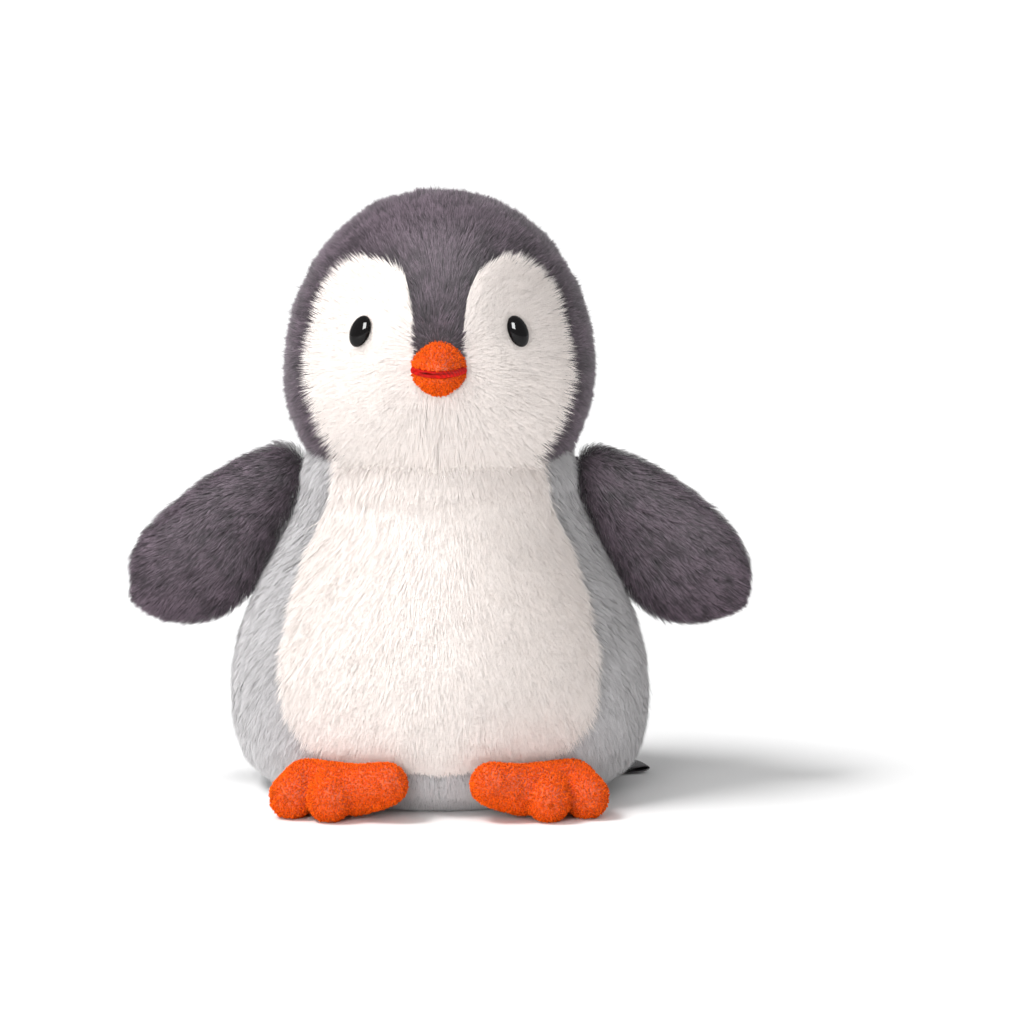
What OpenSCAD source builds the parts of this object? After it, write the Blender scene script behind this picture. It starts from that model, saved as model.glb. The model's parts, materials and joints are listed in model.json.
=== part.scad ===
// Plush penguin, a soft toy that sits on its flat base and faces -Y.
// Left and right are the penguin's own sides, so left is +X. The origin is the middle of the
// base, on the surface that the toy sits on. Every skin is drawn without its pile.

/* [Body] */
// Radius of the body at its widest
body_r = 66; // [64:0.5:68]
// Height of the widest point of the body
body_wide_z = 31; // [28:1:34]
// Radius of the flat base
base_r = 50; // [48:1:52]
// How late the flank draws in towards the neck: more is fuller
flank_fullness = 1.15; // [1:0.05:1.3]
// Thickness of the plush fabric of every skin
skin_t = 1.2; // [1:0.1:1.4]

/* [Neck] */
// Height of the point that the head turns and nods about
neck_pivot_z = 96; // [94:1:97]
// Radius of the ball of stuffing that fills the neck
neck_ball_r = 43.7; // [43:0.1:44]
// Height at which the body's skin ends and the ball of the neck begins
neck_open_z = 108; // [107:0.5:109]
// Clearance between pieces that slide on each other
slide_gap = 0.4; // [0.3:0.1:0.5]

/* [Head] */
// Radius of the head at its widest
head_r = 49; // [47:0.5:51]
// Height of the widest point of the head
head_wide_z = 137; // [135:1:139]
// Height of the top of the head
head_top_z = 197; // [194:1:200]
// Half height of the round that the cheeks and chin follow below the widest point
head_under = 40; // [38:1:42]
// Height of the lower edge of the head's skin
head_rim_z = 115; // [114:0.5:116]

/* [Eyes] */
// Distance of each eye from the middle of the face
eye_x = 25.3; // [24:0.1:27]
// Height of the eyes
eye_z = 157.5; // [155:0.5:161]
// Half height of the oval of an eye
eye_r = 5.4; // [4.5:0.1:6]
// Width of an eye as a share of its height
eye_squeeze = 0.7; // [0.6:0.05:1]
// How far an eye's dome stands out, as a share of its half height
eye_dome = 0.55; // [0.4:0.05:1]

/* [Beak] */
// Half width, length ahead of the face and half height of the beak
beak_half = [9.2, 13, 8.8]; // [8:0.1:14]
// Height of the mouth line
beak_z = 146.5; // [145:0.5:149]

/* [Flippers] */
// Half thickness of a flipper
flipper_r = 8; // [7:0.5:8]
// Place of the shoulder seam: across, back and up
shoulder = [51.7, 5, 104]; // [4:0.1:105]

/* [Feet] */
// Radius of the round of a toe
toe_r = 7; // [6.5:0.1:7.2]
// Radius of the round of the instep
instep_r = 8; // [7.5:0.1:8.1]

/* [Hidden] */

LEFT = 1;
RIGHT = -1;
FAR = 300;              // longer than the toy each way, for cutting with
profile_fn = 96;
soft_fn = 24;
thread_r = 0.4;

dark_grey = "#5b4f5a";
light_grey = "#cdcacb";
white = "#f4f0ea";
orange = "#e8562a";
mouth_red = "#e02c14";
black = "#151012";
stuffing_white = "#fbfbf8";
label_grey = "#4b474c";

// Where the flank meets the round of the neck ball
flank_top_z = neck_pivot_z + 10;
flank_top_r = sqrt(pow(neck_ball_r, 2) - pow(flank_top_z - neck_pivot_z, 2));

// The belly's seam: half width and height, from the neck round to the low point in front
belly_seam = [
    [29, 120], [36, 98], [43.5, 77], [49.5, 50], [48.5, 37], [43.5, 27.5], [31, 19.5], [15, 16], [0, 14.5]
];

// The face's seam on one side: from the beak, up beside the forehead stripe, round the cheek
face_seam = [
    [7.5, 147], [8.2, 157], [9, 166], [12, 174], [19.5, 177.5], [28, 174.5],
    [34.2, 166], [37, 154], [37.6, 142], [35, 130], [29.5, 119.5], [25, 112]
];

// Middles of a flipper's rounds, from the shoulder out along the top and back under the tip
flipper_rounds = [
    [0, 0], [11, -3.5], [23, -12.5], [32.5, -22.5], [39, -32.5], [36.5, -38.5], [25.5, -37.5], [3.5, -3]
];
root_shrink = 0.5;      // the shoulder's round is a little thinner, to turn clear of the flank

// Ends of a foot's instep, and the middles of its three toes. Each toe starts from a share of the
// way along the instep.
insteps = [[27, -66.6, 9.6], [43.6, -56.4, 9.6]];
toes = [[17.5, -70.5, 12], [36, -71.5, toe_r], [48.6, -64.8, toe_r]];
toe_starts = [0, 0.5, 1];
sole_z = 6.5;           // height of the seam between a foot's top and its sole

// A curve through the points, with n steps between each two (Catmull-Rom)
function curve(p, n) = [
    for (i = [0 : len(p) - 2], k = [0 : n - 1])
        let (a = p[max(i - 1, 0)], b = p[i], c = p[i + 1], d = p[min(i + 2, len(p) - 1)], t = k / n)
        0.5 * (2 * b + (c - a) * t + (2 * a - 5 * b + 4 * c - d) * t * t
            + (3 * b - a - 3 * c + d) * t * t * t),
    p[len(p) - 1]
];

// Body outline in radius and height, a depth t inside the skin's outer face
function body_outline(t) = concat(
    [[0, t]],
    [for (a = [-90 : 10 : 0])
        [base_r + (body_r - base_r - t) * cos(a), body_wide_z + (body_wide_z - t) * sin(a)]],
    [for (u = [0.1 : 0.1 : 1.01])
        let (w = pow(u, flank_fullness))
        [flank_top_r - t + (body_r - flank_top_r) * (cos(180 * w) + 1) / 2,
         body_wide_z + (flank_top_z - body_wide_z) * u]],
    [[neck_round_r(neck_open_z - slide_gap) - t, neck_open_z - slide_gap], [0, neck_open_z - slide_gap]]
);

// Radius of the neck ball at a height
function neck_round_r(z) = sqrt(pow(neck_ball_r, 2) - pow(z - neck_pivot_z, 2));

// Head outline in radius and height, a depth t inside the skin's outer face
function head_outline(t) = concat(
    [[0, head_rim_z], [head_under_r(head_rim_z) - t, head_rim_z]],
    [for (a = [-25 : 8.333 : 0]) [(head_r - t) * cos(a), head_wide_z + (head_under - t) * sin(a)]],
    [for (a = [9 : 9 : 90]) [(head_r - t) * cos(a), head_wide_z + (head_top_z - head_wide_z - t) * sin(a)]]
);

// Radius of the head's skin below its widest point
function head_under_r(z) = head_r * sqrt(1 - pow((head_wide_z - z) / head_under, 2));

// Height of the head above its widest point, where the eyes and the beak are set: the radius of its
// skin at the eyes, how far each eye faces outwards and upwards, and how far ahead the skin is at
// the beak
head_over = head_top_z - head_wide_z;
eye_ring_r = head_r * sqrt(1 - pow((eye_z - head_wide_z) / head_over, 2));
eye_turn = asin(eye_x / eye_ring_r);
eye_tilt = atan2((eye_z - head_wide_z) / pow(head_over, 2), eye_ring_r / pow(head_r, 2));
beak_y = -head_r * sqrt(1 - pow((beak_z - head_wide_z) / head_over, 2));

module body_solid(t) {
    rotate_extrude($fn = profile_fn) polygon(body_outline(t));
}

module body_shell() {
    difference() {
        body_solid(0);
        body_solid(skin_t);
        translate([0, 0, neck_open_z - 3]) cylinder(r = flank_top_r - skin_t - 1, h = 6, $fn = profile_fn);
    }
}

module neck_ball(r) {
    translate([0, 0, neck_pivot_z]) sphere(r, $fn = profile_fn);
}

module head_solid(t) {
    difference() {
        rotate_extrude($fn = profile_fn) polygon(head_outline(t));
        neck_ball(neck_ball_r + slide_gap);
    }
}

module head_shell() {
    difference() {
        rotate_extrude($fn = profile_fn) polygon(head_outline(0));
        rotate_extrude($fn = profile_fn) polygon(head_outline(skin_t));
        neck_ball(neck_ball_r + slide_gap);
        for (side = [LEFT, RIGHT]) at_eye(side)
            cylinder(r = post_r + 0.1, h = 12, center = true, $fn = soft_fn);
    }
}

// Everything ahead of the toy's middle plane that lies inside an outline drawn on the XZ plane
module front_prism(outline) {
    rotate([90, 0, 0]) linear_extrude(FAR) polygon(outline);
}

module half(side) {
    translate([side * FAR / 2, 0, FAR / 2]) cube([FAR, 2 * FAR, 2 * FAR], center = true);
}

module belly_prism() {
    right_edge = curve(belly_seam, 2);
    left_edge = [for (i = [len(right_edge) - 2 : -1 : 0]) [-right_edge[i][0], right_edge[i][1]]];
    front_prism(concat(right_edge, left_edge));
}

module face_prism(side) {
    seam = curve(face_seam, 2);
    front_prism([for (p = concat([[0, 147]], seam, [[0, 112]])) [side * p[0], p[1]]]);
}

// Gusset that runs from the beak over the crown to the nape
module gusset_prism() {
    half_w = 9;
    translate([-half_w, -FAR, head_rim_z - 1]) cube([2 * half_w, 2 * FAR, FAR]);
}

module body_side(side) {
    color(light_grey) intersection() {
        difference() {
            body_shell();
            belly_prism();
            cylinder(r = base_r, h = 2 * skin_t, center = true, $fn = profile_fn);
        }
        half(side);
    }
}

module belly_panel() {
    color(white) intersection() {
        body_shell();
        belly_prism();
    }
}

module base_panel() {
    color(light_grey) cylinder(r = base_r, h = skin_t, $fn = profile_fn);
}

// Pouch of plastic beads that keeps the toy upright
pouch_r = 42;
pouch_h = 16;
pouch_z = 3.5;          // it lies in the stuffing, a little above the base

module pellet_pouch() {
    corner = 7;
    color(white) translate([0, 0, pouch_z]) rotate_extrude($fn = profile_fn) {
        square([pouch_r - corner, pouch_h]);
        translate([0, corner]) square([pouch_r, pouch_h - 2 * corner]);
        for (z = [corner, pouch_h - corner]) translate([pouch_r - corner, z]) circle(corner, $fn = 32);
    }
}

module body_stuffing() {
    color(stuffing_white) difference() {
        body_solid(skin_t);
        pellet_pouch();
        neck_thread_ring();
    }
}

neck_thread_r = flank_top_r - skin_t - 1.5;
neck_thread_z = neck_open_z - slide_gap - 3 * thread_r;

module neck_thread_ring() {
    translate([0, 0, neck_thread_z])
        rotate_extrude($fn = profile_fn) translate([neck_thread_r, 0]) circle(thread_r, $fn = 16);
}

// Thread that gathers the neck opening
module neck_stitching() {
    color(white) neck_thread_ring();
}

// Blank folded ribbon, sewn into the seam of the base behind the left foot
label_turn = 19;
label_w = 14;
label_reach = 14.3;

module care_label() {
    fold_r = 1.2;
    ribbon_t = 0.4;
    label_start = base_r + 8.2;     // clear of the skin's lower edge
    color(label_grey)
    rotate([0, 0, label_turn]) translate([label_start, label_w / 2, fold_r + 0.2]) rotate([90, 0, 0])
        linear_extrude(label_w) difference() {
            union() {
                circle(fold_r, $fn = 24);
                translate([0, -fold_r]) square([label_reach - fold_r, 2 * fold_r]);
                translate([label_reach - fold_r, 0]) circle(fold_r, $fn = 24);
            }
            translate([0, ribbon_t - fold_r]) square([label_reach - fold_r, 2 * (fold_r - ribbon_t)]);
        }
}

// Ball of stuffing in the neck, which turns with the head
module neck_stuffing() {
    color(stuffing_white) intersection() {
        neck_ball(neck_ball_r);
        translate([-FAR / 2, -FAR / 2, neck_open_z]) cube(FAR);
    }
}

module face_panel(side) {
    color(white) intersection() {
        head_shell();
        face_prism(side);
    }
}

module crown_gusset() {
    color(dark_grey) intersection() {
        difference() {
            head_shell();
            for (side = [LEFT, RIGHT]) face_prism(side);
        }
        gusset_prism();
    }
}

module head_side(side) {
    color(dark_grey) intersection() {
        difference() {
            head_shell();
            face_prism(side);
            gusset_prism();
        }
        half(side);
    }
}

post_r = 1.5;
post_h = 9;
washer_r = 5;
washer_t = 1.2;
washer_depth = 3.5;     // from the skin to the washer, with the post's fabric between them

module head_stuffing() {
    color(stuffing_white) difference() {
        head_solid(skin_t);
        for (side = [LEFT, RIGHT]) at_eye(side) eye_pocket();
    }
}

// The space that a post and its washer take out of the stuffing
module eye_pocket() {
    translate([0, 0, -post_h - 0.5]) cylinder(r = post_r + 0.1, h = post_h + 0.5, $fn = soft_fn);
    translate([0, 0, -washer_depth - washer_t - 0.1])
        cylinder(r = washer_r + 0.1, h = washer_depth + washer_t + 0.1, $fn = 32);
}

// Puts its children on the skin at an eye, with +Z straight out of the head and +Y up the face
module at_eye(side) {
    rotate([0, 0, side * eye_turn]) translate([0, -eye_ring_r, eye_z])
        rotate([90 - eye_tilt, 0, 0]) children();
}

module eye(side) {
    color(black) at_eye(side) {
        intersection() {
            scale([eye_squeeze, 1, eye_dome]) sphere(eye_r, $fn = 48);
            translate([-eye_r, -eye_r, 0.2]) cube(2 * eye_r);
        }
        translate([0, 0, -post_h]) cylinder(r = post_r, h = post_h + 1, $fn = soft_fn);
    }
}

// Toothed washer that locks an eye's post behind the fabric
module eye_washer(side) {
    color(white) at_eye(side) translate([0, 0, -washer_depth - washer_t]) difference() {
        cylinder(r = washer_r, h = washer_t, $fn = 32);
        translate([0, 0, -1]) cylinder(r = post_r + 0.02, h = washer_t + 2, $fn = soft_fn);
    }
}

// Beak without its skin at depth t, cut off where it meets the head
module beak_solid(t) {
    difference() {
        translate([0, beak_y, beak_z]) scale(beak_half - [t, t, t]) sphere(1, $fn = 48);
        rotate_extrude($fn = profile_fn) polygon(head_outline(-0.05));
    }
}

module beak_half_shell(up) {
    color(orange) intersection() {
        difference() {
            beak_solid(0);
            beak_solid(skin_t);
        }
        translate([-FAR / 2, -FAR, up > 0 ? beak_z : beak_z - FAR]) cube(FAR);
    }
}

module beak_stuffing() {
    color(stuffing_white) beak_solid(skin_t);
}

// Satin stitch along the mouth line
module mouth_stitching() {
    stitch_h = 1.3;
    color(mouth_red) intersection() {
        difference() {
            beak_solid(-thread_r);
            beak_solid(0);
        }
        translate([-FAR / 2, -FAR, beak_z - stitch_h / 2]) cube([FAR, FAR, stitch_h]);
    }
}

module flipper_solid(side, t) {
    translate([side * shoulder[0], shoulder[1], shoulder[2]]) hull() {
        for (i = [0 : len(flipper_rounds) - 1])
            translate([side * flipper_rounds[i][0], 0, flipper_rounds[i][1]])
                sphere(flipper_r - t - (i == 0 ? root_shrink : 0), $fn = soft_fn);
    }
}

// Front (facing = -1) or back (facing = 1) skin of a flipper
module flipper_panel(side, facing) {
    color(dark_grey) intersection() {
        difference() {
            flipper_solid(side, 0);
            flipper_solid(side, skin_t);
        }
        translate([-FAR / 2, facing > 0 ? shoulder[1] : shoulder[1] - FAR, 0]) cube(FAR);
    }
}

module flipper_stuffing(side) {
    color(stuffing_white) flipper_solid(side, skin_t);
}

// Thread ring of a seam: at a place, with its middle line along +X turned by an angle
module thread_ring(place, turn, ring_r) {
    translate(place) rotate([0, 0, turn]) rotate([0, 90, 0])
        rotate_extrude($fn = 48) translate([ring_r, 0]) circle(thread_r, $fn = 16);
}

module shoulder_stitching(side) {
    seam_x = shoulder[0] - 6.3;
    color(dark_grey) thread_ring([side * seam_x, shoulder[1], shoulder[2]], 0, 4.9);
}

module foot_round(side, middle, r) {
    translate([side * middle[0], middle[1], middle[2]]) sphere(r, $fn = soft_fn);
}

module foot_solid(side, t) {
    hull() for (end = insteps) foot_round(side, end, instep_r - t);
    for (i = [0 : len(toes) - 1]) hull() {
        foot_round(side, insteps[0] + (insteps[1] - insteps[0]) * toe_starts[i], instep_r - t);
        foot_round(side, toes[i], toe_r - t);
    }
}

module foot_panel(side, up) {
    color(orange) intersection() {
        difference() {
            foot_solid(side, 0);
            foot_solid(side, skin_t);
        }
        translate([-FAR / 2, -FAR, up > 0 ? sole_z : sole_z - FAR]) cube(FAR);
    }
}

module foot_stuffing(side) {
    color(stuffing_white) foot_solid(side, skin_t);
}

// Thread that holds a foot to the body, in the seam behind its instep
module ankle_stitching(side) {
    thread_z = 7.8;
    thread_len = 14;
    seam_r = 61.8;      // between the skins of the body and the foot
    middle = (insteps[0] + insteps[1]) / 2;
    turn = atan2(middle[1], middle[0]);
    color(orange) translate([side * seam_r * cos(turn), seam_r * sin(turn), thread_z])
        rotate([90, 0, side > 0 ? turn : 180 - turn])
            cylinder(r = thread_r, h = thread_len, center = true, $fn = 16);
}

belly_panel();
body_side(LEFT);  // body_side_left
body_side(RIGHT);  // body_side_right
base_panel();
body_stuffing();
pellet_pouch();
neck_stitching();
care_label();
neck_stuffing();
face_panel(LEFT);  // face_panel_left
face_panel(RIGHT);  // face_panel_right
crown_gusset();
head_side(LEFT);  // head_side_left
head_side(RIGHT);  // head_side_right
head_stuffing();
eye(LEFT);  // eye_left
eye(RIGHT);  // eye_right
eye_washer(LEFT);  // eye_washer_left
eye_washer(RIGHT);  // eye_washer_right
beak_half_shell(1);  // beak_upper
beak_half_shell(-1);  // beak_lower
beak_stuffing();
mouth_stitching();
flipper_panel(LEFT, -1);  // flipper_front_left
flipper_panel(RIGHT, -1);  // flipper_front_right
flipper_panel(LEFT, 1);  // flipper_back_left
flipper_panel(RIGHT, 1);  // flipper_back_right
flipper_stuffing(LEFT);  // flipper_stuffing_left
flipper_stuffing(RIGHT);  // flipper_stuffing_right
shoulder_stitching(LEFT);  // shoulder_stitching_left
shoulder_stitching(RIGHT);  // shoulder_stitching_right
foot_panel(LEFT, 1);  // foot_top_left
foot_panel(RIGHT, 1);  // foot_top_right
foot_panel(LEFT, -1);  // foot_sole_left
foot_panel(RIGHT, -1);  // foot_sole_right
foot_stuffing(LEFT);  // foot_stuffing_left
foot_stuffing(RIGHT);  // foot_stuffing_right
ankle_stitching(LEFT);  // ankle_stitching_left
ankle_stitching(RIGHT);  // ankle_stitching_right
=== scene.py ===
"""Plush penguin: the skins, pile, looped fleece, eyes, thread and stuffing around its CAD frame.

Lengths in this script are millimetres, and new_piece() turns them to metres. The penguin faces
-Y, and left and right are its own, so left is +X.
"""

import json
import math
from itertools import product

import bmesh
import bpy
import numpy as np
from mathutils import Matrix, Vector
from mathutils.kdtree import KDTree


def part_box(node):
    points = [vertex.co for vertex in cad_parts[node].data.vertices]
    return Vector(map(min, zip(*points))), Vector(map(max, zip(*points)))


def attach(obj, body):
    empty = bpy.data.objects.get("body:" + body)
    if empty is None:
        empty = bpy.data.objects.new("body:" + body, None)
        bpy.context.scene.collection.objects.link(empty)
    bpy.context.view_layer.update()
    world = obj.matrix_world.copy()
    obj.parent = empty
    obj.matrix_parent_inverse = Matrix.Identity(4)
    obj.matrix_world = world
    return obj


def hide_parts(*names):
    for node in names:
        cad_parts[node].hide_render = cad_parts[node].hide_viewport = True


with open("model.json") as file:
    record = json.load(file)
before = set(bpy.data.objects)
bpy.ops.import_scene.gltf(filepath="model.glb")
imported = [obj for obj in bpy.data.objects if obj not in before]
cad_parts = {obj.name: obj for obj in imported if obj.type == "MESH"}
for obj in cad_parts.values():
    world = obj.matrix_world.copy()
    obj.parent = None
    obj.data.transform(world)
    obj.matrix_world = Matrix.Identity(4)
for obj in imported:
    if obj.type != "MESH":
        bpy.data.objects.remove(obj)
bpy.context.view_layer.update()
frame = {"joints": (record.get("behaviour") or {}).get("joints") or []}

bl_info = {
    "name": "Plush penguin",
    "version": (1, 0, 0),
    "blender": (4, 5, 0),
    "location": "3D Viewport > Sidebar > Penguin",
    "description": "Builds the pile, fleece, eyes, thread and stuffing of a plush penguin",
    "category": "Object",
}

MM = 0.001
LEFT, RIGHT = 1, -1
SIDE_NAME = {LEFT: "left", RIGHT: "right"}
STRANDS_IN_A_PIECE = 38000
LOCKS_IN_A_TUFT = 14
ROOT_DEPTH = 0.3
STRAY_SHARE = 0.03
# Lowest height of the feet's skin, which leaves room for the loops of the fleece below it
SOLE_CLEARANCE = 0.7


def linear(code):
    """An sRGB hex colour as a linear one."""
    channels = [int(code[i : i + 2], 16) / 255 for i in (1, 3, 5)]
    return tuple(c / 12.92 if c <= 0.04045 else ((c + 0.055) / 1.055) ** 2.4 for c in channels)


def box_mm(node):
    """Lowest and highest corner of a CAD node, in millimetres."""
    low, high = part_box(node)
    return np.array(low) / MM, np.array(high) / MM


def middle_mm(node):
    """Middle of a CAD node's box, in millimetres."""
    low, high = box_mm(node)
    return (low + high) / 2


def joint_mm(name):
    """Place of a joint, in millimetres."""
    joint = next(j for j in frame["joints"] if j["name"] == name)
    return np.array(joint["pos_m"]) / MM


# ---------------------------------------------------------------- sizes taken from the frame

BODY_R = box_mm("body_side_left")[1][0]
BASE_R = box_mm("base_panel")[1][0]
NECK_PIVOT = joint_mm("head_turn")
NECK_BALL_R = box_mm("neck_stuffing")[1][2] - NECK_PIVOT[2]
HEAD_TOP = box_mm("crown_gusset")[1][2] - 0.8
HEAD_RIM = box_mm("head_side_left")[0][2]
HEAD_R = box_mm("head_side_left")[1][0] - 0.7
SHOULDER = joint_mm("flipper_left_raise")
EYE = {side: middle_mm(f"eye_{SIDE_NAME[side]}") for side in (LEFT, RIGHT)}
BEAK_LOW, BEAK_HIGH = box_mm("beak_lower")[0], box_mm("beak_upper")[1]
MOUTH_Z = box_mm("beak_lower")[1][2]

BODY_WIDE_Z = 31
FLANK_FULLNESS = 1.15
HEAD_WIDE_Z = 137
HEAD_UNDER = 40
GUSSET_HALF = 9
NECK_SKIN_TOP = HEAD_RIM + 3
SOLE_SEAM_Z = 6.5

# Seams, as points across and up. The belly's runs down one side to the low point in front.
BELLY_SEAM = [
    (29, 124), (36, 98), (43.5, 77), (49.5, 50), (48.5, 37), (43.5, 27.5), (31, 19.5), (15, 16), (0, 14.5),
]
# The face's runs from the beak up beside the forehead stripe and round the cheek.
FACE_SEAM = [
    (6.8, 147), (7.4, 157), (8.3, 166), (11.5, 174), (19.5, 177.5), (28.5, 174.5),
    (35.4, 166), (38.6, 154), (38.8, 142), (35.5, 130), (29.5, 119.5), (25, 112),
]
# A flipper's seam, round from the top of the shoulder, measured from the shoulder's joint
FLIPPER_SEAM = [
    (-6, 4), (1, 8), (12.2, 3.8), (21, -1.2), (28.6, -6), (34.6, -10.9), (40, -15.7),
    (44.4, -20.6), (47.2, -25.4), (48.8, -30), (48.8, -38.5), (46.3, -43), (40.5, -46.5),
    (33, -48.2), (24, -47.3), (16.5, -43), (10.5, -36.5), (4.5, -26), (0, -15), (-4.5, -5),
]
FLIPPER_MIDDLE = (22, -22)
FLIPPER_HALF_T = 8
# Each foot's two rounds of the instep, and the rounds at the tips of its toes: x, y, z and radius
INSTEPS = np.array([(27, -66.6, 9.6, 8), (43.6, -56.4, 9.6, 8)])
TOES = np.array([(17.5, -70.5, 12, 7), (36, -71.5, 7, 7), (48.6, -64.8, 7, 7)])


# ---------------------------------------------------------------- settings


class PenguinPile(bpy.types.PropertyGroup):
    """The pile: how long, thick and dense it is, and its colours."""

    length: bpy.props.FloatProperty(
        name="Pile length", description="Length of the body's pile, in mm", default=7.2, min=3, max=12
    )
    strand_width: bpy.props.FloatProperty(
        name="Strand width", description="Width of one lock of fibres, in mm", default=0.19, min=0.1, max=1
    )
    density: bpy.props.FloatProperty(
        name="Density", description="Locks of fibres to a square millimetre", default=8, min=0.5, max=12
    )
    white: bpy.props.FloatVectorProperty(
        name="White", description="Belly and face pile", subtype="COLOR", default=linear("#f6eee9")
    )
    light_grey: bpy.props.FloatVectorProperty(
        name="Light grey", description="Body sides' pile", subtype="COLOR", default=linear("#d4d2d3")
    )
    dark_grey: bpy.props.FloatVectorProperty(
        name="Dark grey", description="Head and flipper pile", subtype="COLOR", default=linear("#5a4d57")
    )


class PenguinTrim(bpy.types.PropertyGroup):
    """The fleece, eyes, thread and ribbon."""

    loop_height: bpy.props.FloatProperty(
        name="Loop height", description="Height of the fleece's loops, in mm", default=0.75, min=0.2, max=3
    )
    loops: bpy.props.FloatProperty(
        name="Loops", description="Fleece loops to a square millimetre", default=2.6, min=0.5, max=8
    )
    orange: bpy.props.FloatVectorProperty(
        name="Orange", description="Feet and beak fleece", subtype="COLOR", default=linear("#f96414")
    )
    mouth: bpy.props.FloatVectorProperty(
        name="Mouth", description="Satin stitch of the mouth", subtype="COLOR", default=linear("#cc0c04")
    )
    eye: bpy.props.FloatVectorProperty(
        name="Eyes", description="Polished black plastic", subtype="COLOR", default=linear("#0b090a")
    )
    ribbon: bpy.props.FloatVectorProperty(
        name="Ribbon", description="Blank ribbon in the base seam", subtype="COLOR", default=linear("#4b474c")
    )


class PenguinStage(bpy.types.PropertyGroup):
    """The floor, lights and camera."""

    floor: bpy.props.FloatVectorProperty(
        name="Floor", description="Colour of the floor", subtype="COLOR", default=linear("#f6f6f6")
    )
    camera_distance: bpy.props.FloatProperty(
        name="Camera distance", description="From the lens to the toy", default=4.0, unit="LENGTH"
    )
    camera_height: bpy.props.FloatProperty(
        name="Camera elevation", description="Angle above level", default=math.radians(9), subtype="ANGLE"
    )
    view_width: bpy.props.FloatProperty(
        name="View width", description="Width of the picture at the toy", default=0.341, unit="LENGTH"
    )


# ---------------------------------------------------------------- shapes


def curve_through(points, steps, closed=False):
    """A smooth curve through the points, with a number of steps between each two."""
    p = np.array(points, float)
    n = len(p)
    out = []
    for i in range(n if closed else n - 1):
        pick = [(i + k) % n if closed else min(max(i + k, 0), n - 1) for k in (-1, 0, 1, 2)]
        a, b, c, d = p[pick]
        for t in np.arange(steps) / steps:
            bend = (2 * a - 5 * b + 4 * c - d) * t**2 + (3 * b - a - 3 * c + d) * t**3
            out.append(0.5 * (2 * b + (c - a) * t + bend))
    if not closed:
        out.append(p[-1])
    return np.array(out)


def depth_inside(points, outline):
    """Distance of 2D points from a closed outline, positive inside it."""
    a, b = outline, np.roll(outline, -1, axis=0)
    nearest = np.full(len(points), np.inf)
    inside = np.zeros(len(points), bool)
    for (ax, ay), (bx, by) in zip(a, b):
        dx, dy = bx - ax, by - ay
        along = ((points[:, 0] - ax) * dx + (points[:, 1] - ay) * dy) / (dx * dx + dy * dy + 1e-12)
        along = np.clip(along, 0, 1)
        gap = np.hypot(points[:, 0] - ax - along * dx, points[:, 1] - ay - along * dy)
        nearest = np.minimum(nearest, gap)
        if ay != by:
            crosses = (points[:, 1] > ay) != (points[:, 1] > by)
            inside ^= crosses & (points[:, 0] < ax + (points[:, 1] - ay) * dx / dy)
    return np.where(inside, nearest, -nearest)


def soft_noise(points, size, seed):
    """Smooth random numbers from -1 to 1 at the points, which change over about size mm."""
    q = points / size
    cell = np.floor(q).astype(np.int64)
    f = q - cell
    f = f * f * (3 - 2 * f)
    total = np.zeros(len(points))
    for corner in product((0, 1), repeat=3):
        c = cell + corner
        h = (c[:, 0] * 73856093) ^ (c[:, 1] * 19349663) ^ (c[:, 2] * 83492791) ^ (seed * 2654435761)
        h = ((h & 0x7FFFFFFF) * 1103515245 + 12345) & 0x7FFFFFFF
        weight = np.prod(np.where(np.array(corner, bool), f, 1 - f), axis=1)
        total += weight * ((h >> 8 & 0xFFFF) / 0x8000 - 1)
    return total


def unit(v):
    """Vectors of length 1 in the same directions."""
    return v / np.maximum(np.linalg.norm(v, axis=-1, keepdims=True), 1e-9)


def weld(verts, tris):
    """Joins vertices that lie in one place, and drops triangles with no area."""
    _, first, where = np.unique(np.round(verts[:, :3], 3), axis=0, return_index=True, return_inverse=True)
    tris = where.reshape(-1)[tris]
    flat = (tris[:, 0] == tris[:, 1]) | (tris[:, 1] == tris[:, 2]) | (tris[:, 2] == tris[:, 0])
    tris = tris[~flat]
    used, tris = np.unique(tris, return_inverse=True)
    return verts[first][used], tris.reshape(-1, 3)


def grid_tris(rows, columns):
    """Triangles of a grid of vertices whose last column joins its first."""
    i, j = np.meshgrid(np.arange(rows - 1), np.arange(columns), indexing="ij")
    a, b = i * columns + j, i * columns + (j + 1) % columns
    c, d = a + columns, b + columns
    return np.concatenate([np.stack([a, b, d], -1).reshape(-1, 3), np.stack([a, d, c], -1).reshape(-1, 3)])


def with_normals(verts, tris):
    """Vertices with their normals beside them, as six columns."""
    corners = verts[tris]
    face = np.cross(corners[:, 1] - corners[:, 0], corners[:, 2] - corners[:, 0])
    normals = np.zeros_like(verts)
    for k in range(3):
        np.add.at(normals, tris[:, k], face)
    return np.hstack([verts, unit(normals)])


def turned(outline, around, lumps, seed):
    """Skin of a round form from its radii and heights, from the bottom up, with soft lumps."""
    outline = np.array(outline, float)
    turn = np.arange(around) * 2 * math.pi / around
    r, z = outline[:, :1], outline[:, 1:]
    verts = np.stack([r * np.cos(turn), r * np.sin(turn), np.broadcast_to(z, (len(r), around))], -1)
    verts, tris = weld(verts.reshape(-1, 3), grid_tris(len(outline), around))
    skin = with_normals(verts, tris)
    skin[:, :3] += skin[:, 3:] * (lumps * soft_noise(verts, 26, seed))[:, None]
    return with_normals(skin[:, :3], tris), tris


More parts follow.
